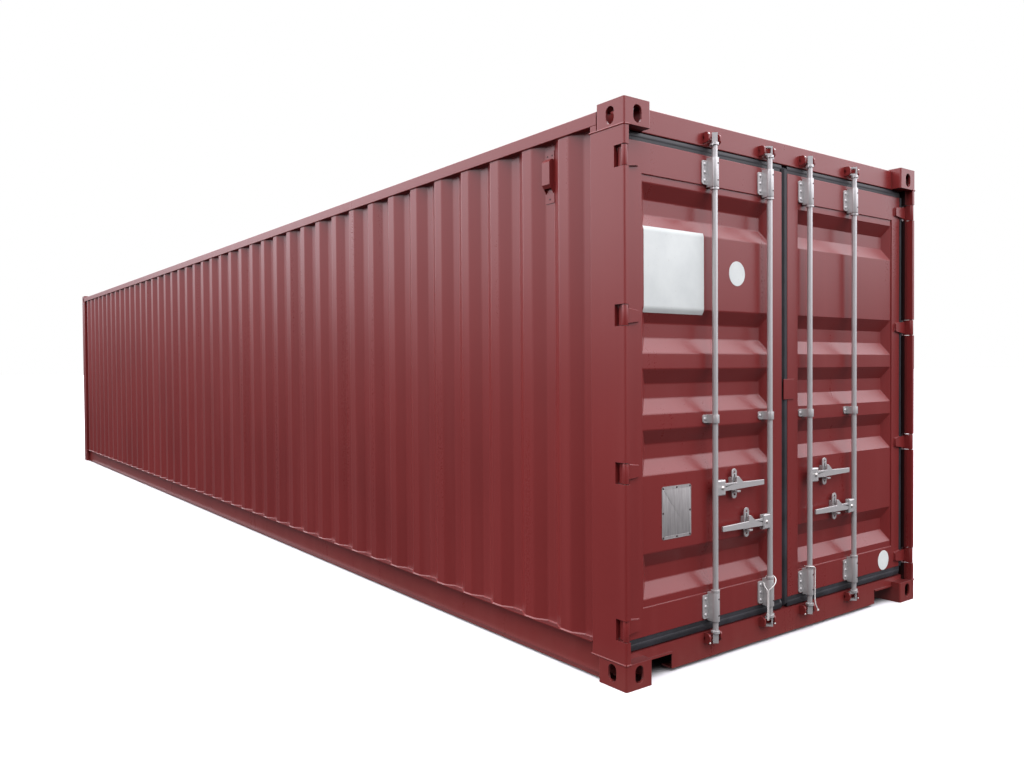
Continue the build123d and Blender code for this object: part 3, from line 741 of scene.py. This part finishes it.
def makeHingeBeads(door):
    form = bmesh.new()
    edge, tail = sidesOf(door + "_frame")[1], sidesOf(door + "_hinges")[0]
    low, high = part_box(door + "_hinges")
    first, last = low[2] + hinge["half"], high[2] - hinge["half"]
    for number in range(hinge["count"]):
        z = first + (last - first) * number / (hinge["count"] - 1)
        tips = [(faceX, tail, z + way * hinge["tip"]) for way in (-1, 1)]
        roots = [(faceX, edge, z + way * hinge["root"]) for way in (-1, 1)]
        for start, end in (*zip(roots, tips), tips):
            addRod(form, start, end, hinge["bead"], hinge["sides"])
    makePiece(door + "_hinge_beads", door, form, coats["weld"])


makePostBeads()
for door in doors:
    makeHingeBeads(door)

# Fillet welds that follow the folds of the side walls along the rails
wall = {
    "crest": 0.072, "slope": 0.068, "valley": 0.070, "depth": 0.036, "lastCrest": 0.373,
    "leg": 0.006, "sunk": 0.001,
}


def wallPath():  # places along the wall, each with its depth below the crests
    start, stop, depth = wallHigh[0], wallLow[0], wall["depth"]
    path = [(start, depth)]
    edge = endX - wall["lastCrest"]
    while edge - wall["crest"] - wall["slope"] > stop:
        far = edge - wall["crest"]
        path += [(edge + wall["slope"], depth), (edge, 0), (far, 0), (far - wall["slope"], depth)]
        edge -= wall["crest"] + wall["valley"] + 2 * wall["slope"]
    return path + [(stop, depth)]


def makeWallWelds():
    form = bmesh.new()
    path = wallPath()
    leg, sunk = wall["leg"], wall["sunk"]
    for side in (-1, 1):
        for z, way in ((wallLow[2], 1), (wallHigh[2], -1)):
            spots = [Vector((x, side * (wallY - depth), z)) for x, depth in path]
            corners = ((0, side * leg, 0), (0, -side * sunk, 0), (0, -side * sunk, way * leg))
            face = form.faces.new([form.verts.new(spots[0] + Vector(spot)) for spot in corners])
            for here, there in zip(spots, spots[1:]):
                made = bmesh.ops.extrude_face_region(form, geom=[face])["geom"]
                bmesh.ops.translate(form, verts=pick(made, bmesh.types.BMVert), vec=there - here)
                face = pick(made, bmesh.types.BMFace)[0]
    makePiece("wall_weld_fillets", "container_box", form, coats["weld"])


makeWallWelds()
print("wires, wear and welds made")

# A plain white panel that is folded over the crest between two pressings of the left door
whitePanel = {
    "sides": (-1.040, -0.632), "folds": (1.6905, 2.0465), "under": 0.022, "over": 0.012,
    "fall": 36 / 68, "gap": 0.0009, "sheet": 0.0007, "bend": 0.010, "segments": 3,
}


def makeWhitePanel():
    p = whitePanel
    form = bmesh.new()
    x = panelX + p["gap"]
    low, high = p["folds"]
    rows = [
        (x - p["under"] * p["fall"], low - p["under"]), (x, low),
        (x, high), (x - p["over"] * p["fall"], high + p["over"]),
    ]
    edges = [form.edges.new([form.verts.new((rows[0][0], y, rows[0][1])) for y in p["sides"]])]
    for (x0, z0), (x1, z1) in zip(rows, rows[1:]):
        made = bmesh.ops.extrude_edge_only(form, edges=edges)["geom"]
        moved = pick(made, bmesh.types.BMVert)
        bmesh.ops.translate(form, verts=moved, vec=(x1 - x0, 0, z1 - z0))
        edges = [edge for edge in pick(made, bmesh.types.BMEdge) if all(v in moved for v in edge.verts)]
    bmesh.ops.recalc_face_normals(form, faces=form.faces)
    bevelEdges(form, [edge for edge in form.edges if edge.is_manifold], p["bend"], p["segments"])
    bmesh.ops.solidify(form, geom=form.faces, thickness=p["sheet"])
    makePiece("left_door_white_panel", "left_door", form, coats["film"])


makeWhitePanel()

# A bare riveted plate on the left door
plate = {
    "middle": (-0.8275, 0.745), "size": (0.199, 0.246), "sheet": 0.0016, "corner": 0.010, "segments": 4,
    "border": 0.014, "rim": 0.0012, "sunk": 0.0005, "front": 0.9,
    "rivet": 0.0052, "rise": 0.003, "inset": 0.008,
}


def makePlate():
    p = plate
    form, rivets = bmesh.new(), bmesh.new()
    (y, z), (wide, tall) = p["middle"], p["size"]
    top = panelX + p["sheet"]
    addBlock(form, (panelX, y - wide / 2, z - tall / 2), (top, y + wide / 2, z + tall / 2))
    corners = [e for e in form.edges if abs(e.verts[0].co.x - e.verts[1].co.x) > p["sheet"] / 2]
    bevelEdges(form, corners, p["corner"], p["segments"])
    front = [face for face in form.faces if face.normal.x > p["front"]]
    bmesh.ops.inset_region(form, faces=front, thickness=p["border"], depth=0)
    bmesh.ops.inset_region(form, faces=front, thickness=p["rim"], depth=-p["sunk"])
    makePiece("left_door_bare_plate", "left_door", form, coats["plate"])
    for across in (-1, 0, 1):
        for up in (-1, 0, 1):
            if across or up:
                spot = (top, y + across * (wide / 2 - p["inset"]), z + up * (tall / 2 - p["inset"]))
                addDome(rivets, spot, (1, 0, 0), p["rivet"], p["rise"])
    makePiece("left_door_plate_rivets", "left_door", rivets, coats["rivet"])


makePlate()

# Plain white discs: a place across, a height and a radius
disc = {
    "left_door": (-0.384, 1.881, 0.061), "right_door": (0.9665, 0.261, 0.058), "sheet": 0.0012, "sides": 48,
}


def makeDisc(door, seat):
    y, z, radius = disc[door]
    form = bmesh.new()
    addRod(form, (seat, y, z), (seat + disc["sheet"], y, z), radius, disc["sides"])
    makePiece(door + "_white_disc", door, form, coats["film"])


makeDisc("left_door", panelX)
makeDisc("right_door", faceX)

vent = {
    "inset": 0.033, "apart": 0.017, "down": 0.022, "up": 0.020, "plate": 0.003,
    "rivet": 0.0045, "rise": 0.0025,
}


def makeVentRivets():
    form = bmesh.new()
    low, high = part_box("vent_covers")
    seat = wallY - wall["depth"] + vent["plate"]
    upper, lower = high[2] - vent["down"], low[2] + vent["up"]
    for side, x in ((-1, high[0] - vent["inset"]), (1, low[0] + vent["inset"])):
        for along, z in ((-vent["apart"], upper), (vent["apart"], upper), (0, lower)):
            addDome(form, (x + along, side * seat, z), (0, side, 0), vent["rivet"], vent["rise"])
    makePiece("vent_rivets", "container_box", form, coats["rivet"])


makeVentRivets()

# Board joints and screws of the floor
boards = {
    "length": 2.4, "seam": 0.006, "sunk": 0.002, "proud": 0.0004, "margin": 0.01,
    "screw": 0.006, "screwProud": 0.0005, "pitch": 0.300, "rows": 9, "first": 5.768, "count": 39,
}


def makeFloorJoints():
    low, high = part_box("plywood_floor")
    seams, screws = bmesh.new(), bmesh.new()
    half, margin = boards["seam"] / 2, boards["margin"]
    bottom, top = high[2] - boards["sunk"], high[2] + boards["proud"]
    addBlock(seams, (low[0], -half, bottom), (high[0], half, top))
    x = high[0] - boards["length"]
    while x > low[0]:
        addBlock(seams, (x - half, low[1] + margin, bottom), (x + half, high[1] - margin, top))
        x -= boards["length"]
    step = (high[1] - low[1]) / boards["rows"]
    for number in range(boards["count"]):
        x = boards["first"] - number * boards["pitch"]
        for row in range(boards["rows"]):
            y = low[1] + (row + 0.5) * step
            addRod(screws, (x, y, bottom), (x, y, high[2] + boards["screwProud"]), boards["screw"])
    makePiece("floor_seams", "container_box", seams, finishes["door_rubber"])
    makePiece("floor_screws", "container_box", screws, finishes["pin_steel"])


makeFloorJoints()
print("panel, plate, discs and floor joints made")

# A pale floor under a soft dome; the dark flag behind the camera draws lines down bars and corners
stage = {
    "reach": 260.0, "floor": (0.72, 0.72, 0.72, 1), "floorDim": (0.6984, 0.6984, 0.6984, 1),
    "patches": (0.6, 3), "rough": 0.9,
    "shade": (0.02, 0.018, 0.018, 1), "shadeX": (5.93, 6.07), "shadeY": (1.06, 1.20),
    "sky": 2.55, "ground": 0.12, "horizon": (0.01, 0.20), "zenith": 1.5, "overhead": (0.25, 0.95),
    "tint": (1.0, 0.975, 1.04, 1), "backdrop": (1, 1, 1, 1),
    "flag": (0.743, -0.669, 0.0), "flagEdge": (0.76, 0.88), "flagTone": 0.12,
}


def makeFloor():
    mesh = bpy.data.meshes.new("studioFloor")
    form = bmesh.new()
    bmesh.ops.create_grid(form, x_segments=1, y_segments=1, size=stage["reach"])
    form.to_mesh(mesh)
    form.free()
    floor = bpy.data.objects.new("studioFloor", mesh)
    bpy.context.scene.collection.objects.link(floor)
    coat = Finish("paleFloor")
    pale = coat.mix(coat.noise(*stage["patches"]), stage["floor"], stage["floorDim"])
    along = coat.step(abs(coat.axis("X")), stage["shadeX"], 1, 0)
    across = coat.step(abs(coat.axis("Y")), stage["shadeY"], 1, 0)
    tone = coat.mix(along * across, pale, stage["shade"])  # painted shadow under the object
    floor.data.materials.append(coat.show(tone, stage["rough"]))
    floor.visible_glossy = False
    floor.visible_diffuse = False


def makeSky():
    world = bpy.data.worlds.new("softDome")
    world.use_nodes = True
    bpy.context.scene.world = world
    dome = Nodes(world.node_tree)
    way = dome.node("ShaderNodeTexCoord", out="Generated")
    up = dome.part(way, "Z")
    level = dome.step(up, stage["horizon"], stage["ground"], stage["sky"])
    level = level + dome.step(up, stage["overhead"], 0, stage["zenith"])
    flag = {0: way, 1: stage["flag"]}
    near = dome.node("ShaderNodeVectorMath", {"operation": "DOT_PRODUCT"}, flag, "Value")
    level = level * dome.step(near, stage["flagEdge"], 1, stage["flagTone"])
    seen = dome.node("ShaderNodeLightPath", out="Is Camera Ray")
    light = world.node_tree.nodes["Background"]
    dome.feed(light.inputs["Color"], dome.mix(seen, stage["tint"], stage["backdrop"]))
    dome.feed(light.inputs["Strength"], level + seen * (1 - level))


shot = {
    "spot": (8.712571, -3.791163, 1.423838), "lens": 29.57, "sensor": 36.0,
    "azimuth": 53.157, "elevation": 1.131, "roll": -0.392,
}


def makeCamera():
    data = bpy.data.cameras.new("photoView")
    data.lens = shot["lens"]
    data.sensor_width = shot["sensor"]
    camera = bpy.data.objects.new("photoView", data)
    bpy.context.scene.collection.objects.link(camera)
    turn, lift = math.radians(shot["azimuth"]), math.radians(shot["elevation"])
    back = Vector((math.sin(turn) * math.cos(lift), -math.cos(turn) * math.cos(lift), math.sin(lift)))
    right = Vector((math.cos(turn), math.sin(turn), 0))
    facing = Matrix((right, back.cross(right), back)).transposed()
    facing = facing @ Matrix.Rotation(math.radians(shot["roll"]), 3, "Z")
    camera.matrix_world = Matrix.Translation(shot["spot"]) @ facing.to_4x4()
    bpy.context.scene.camera = camera


makeFloor()
makeSky()
makeCamera()
bpy.context.scene.view_settings.view_transform = "Standard"
print("stage set")
